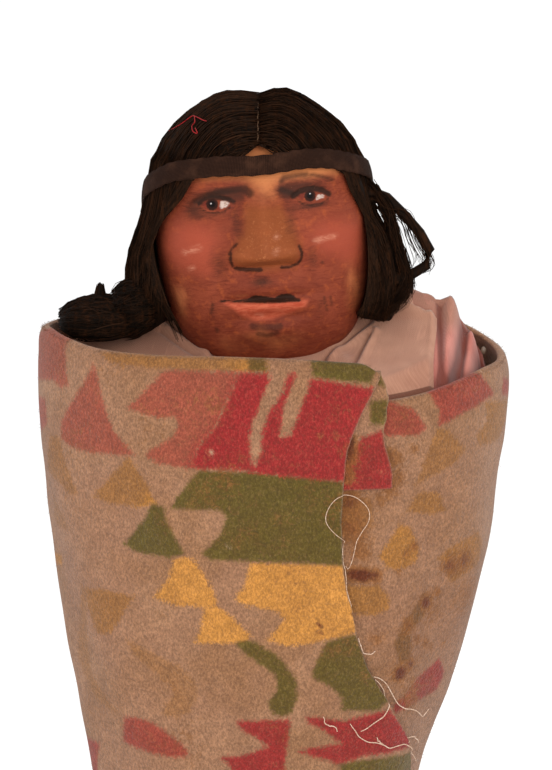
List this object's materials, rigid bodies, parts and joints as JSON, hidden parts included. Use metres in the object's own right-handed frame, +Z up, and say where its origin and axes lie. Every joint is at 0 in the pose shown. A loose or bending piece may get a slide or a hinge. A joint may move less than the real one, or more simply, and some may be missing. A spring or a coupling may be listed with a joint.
{
  "type": "souvenir doll",
  "caption": "Standing souvenir doll with a painted head and mohair wig, wrapped in a folded wool blanket over a stuffed body, on felt legs with flat shoes.",
  "frame": {"origin": "on the floor under the middle of the doll's bounding box", "axes": "+Z up, the doll faces -Y, +X to the right of someone looking at its face"},
  "size_m": [0.1381, 0.088, 0.3065],
  "materials": {
    "head": "painted composition, satin varnish",
    "hair": "dark brown mohair",
    "headband": "dark brown woven ribbon",
    "kerchief": "faded plain cotton",
    "stuffed_body": "pink cotton over stuffing",
    "blanket": "napped wool with a geometric pattern",
    "trouser_leg": "brown felt",
    "moccasin": "tan suede"
  },
  "bodies": {
    "root": {"head": "head", "hair": "hair", "headband": "headband", "kerchief": "kerchief", "stuffed_body": "stuffed_body", "blanket": "blanket", "trouser_leg_left": "trouser_leg", "trouser_leg_right": "trouser_leg", "moccasin_left": "moccasin", "moccasin_right": "moccasin"}
  },
  "joints": []
}
